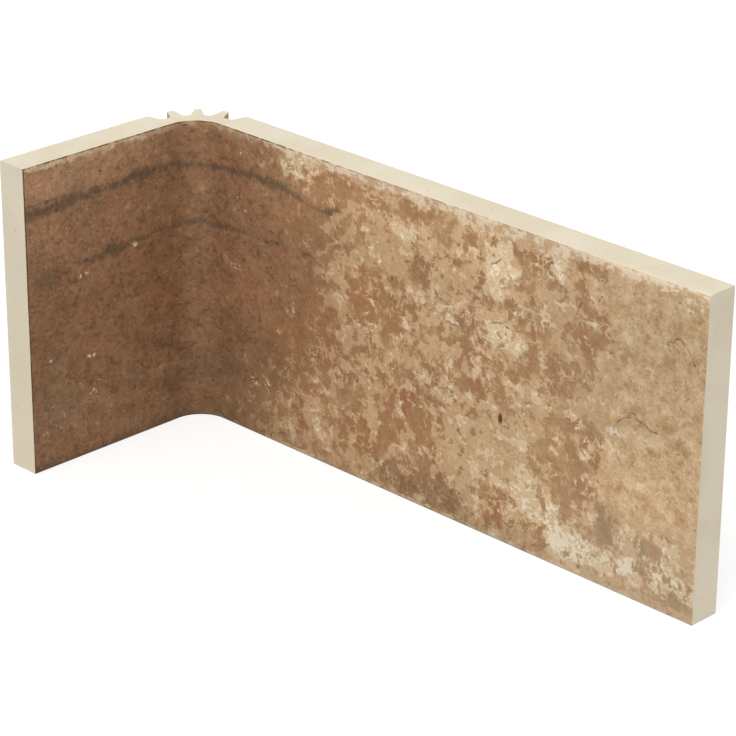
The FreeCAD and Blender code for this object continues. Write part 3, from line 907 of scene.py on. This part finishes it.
studio = {
    "sky": 0.5,                       # light from all round
    "sun": 1.79,                      # watts to the square metre
    "sunFrom": (0.246, -0.412, 0.877),
    "sunSoftness": 50.0,              # degrees
    "floorSide": 6.0,                 # metres
    "floorColour": (0.7, 0.7, 0.7, 1.0),
    "floorSeen": (0.45, 0.45, 0.45, 1.0),    # the floor's own share of what the eye sees of it
    "floorLift": 0.62,                # and how far that is lifted to white
}


def directRays(tree):
    # 1 for what the camera sees, also in a gloss or through glass
    path = put(tree, "ShaderNodeLightPath", {}).outputs
    seen = calc(tree, "MAXIMUM", path["Is Camera Ray"], path["Is Glossy Ray"])
    return calc(tree, "MAXIMUM", seen, path["Is Transmission Ray"])


def makeStudio():
    world = bpy.data.worlds.new("paleStudio")
    bpy.context.scene.world = world
    world.use_nodes = True
    tree = world.node_tree
    sky = tree.nodes["Background"]
    sky.inputs["Color"].default_value = (1, 1, 1, 1)
    ends = {0: directRays(tree), 2: studio["sky"], 3: 1.0}
    strength = put(tree, "ShaderNodeMix", ends, data_type="FLOAT")
    tree.links.new(strength.outputs[0], sky.inputs["Strength"])

    sun = bpy.data.lights.new("softSun", "SUN")
    sun.energy = studio["sun"]
    sun.angle = math.radians(studio["sunSoftness"])
    lamp = bpy.data.objects.new("softSun", sun)
    lamp.rotation_mode = "QUATERNION"
    lamp.rotation_quaternion = Vector(studio["sunFrom"]).to_track_quat("Z", "Y")
    bpy.context.collection.objects.link(lamp)

    bm = bmesh.new()
    bmesh.ops.create_grid(bm, x_segments=1, y_segments=1, size=studio["floorSide"] / 2)
    mesh = bpy.data.meshes.new("floor")
    bm.to_mesh(mesh)
    bm.free()
    floor = bpy.data.objects.new("floor", mesh)
    bpy.context.collection.objects.link(floor)
    material, tree, shader = newMaterial("paleFloor")
    tree.nodes.remove(shader)
    paper = put(tree, "ShaderNodeBsdfDiffuse", {"Color": studio["floorColour"]}).outputs[0]
    seen = put(tree, "ShaderNodeBsdfDiffuse", {"Color": studio["floorSeen"]}).outputs[0]
    lift = put(tree, "ShaderNodeEmission", {"Strength": studio["floorLift"]}).outputs[0]
    seen = put(tree, "ShaderNodeAddShader", {0: seen, 1: lift}).outputs[0]
    both = put(tree, "ShaderNodeMixShader", {0: directRays(tree), 1: paper, 2: seen}).outputs[0]
    tree.links.new(both, tree.nodes["Material Output"].inputs["Surface"])
    mesh.materials.append(material)


view = {
    "place": (421.8, -418.8, 303.3),    # millimetres
    "aim": (0.27, 5.81, 38.89),
    "roll": 0.388,                      # degrees
    "lens": 146.47,
}


def makeCamera():
    camera = bpy.data.cameras.new("eye")
    camera.lens = view["lens"]
    camera.clip_start, camera.clip_end = 0.01, 20
    eye = bpy.data.objects.new("eye", camera)
    ahead = Vector(view["aim"]) - Vector(view["place"])
    turn = ahead.to_track_quat("-Z", "Y").to_matrix().to_4x4()
    roll = Matrix.Rotation(math.radians(view["roll"]), 4, "Z")
    eye.matrix_world = Matrix.Translation(Vector(view["place"]) * mm) @ turn @ roll
    bpy.context.collection.objects.link(eye)
    bpy.context.scene.camera = eye


print("making the tile")
tilePiece = makeTile()
tilePiece.data.materials.append(makeGlaze())
tilePiece.data.materials.append(makeClay())
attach(tilePiece, "root")
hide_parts("corner_tile")

print("setting up the studio")
makeStudio()
makeCamera()
bpy.context.scene.view_settings.view_transform = "Standard"
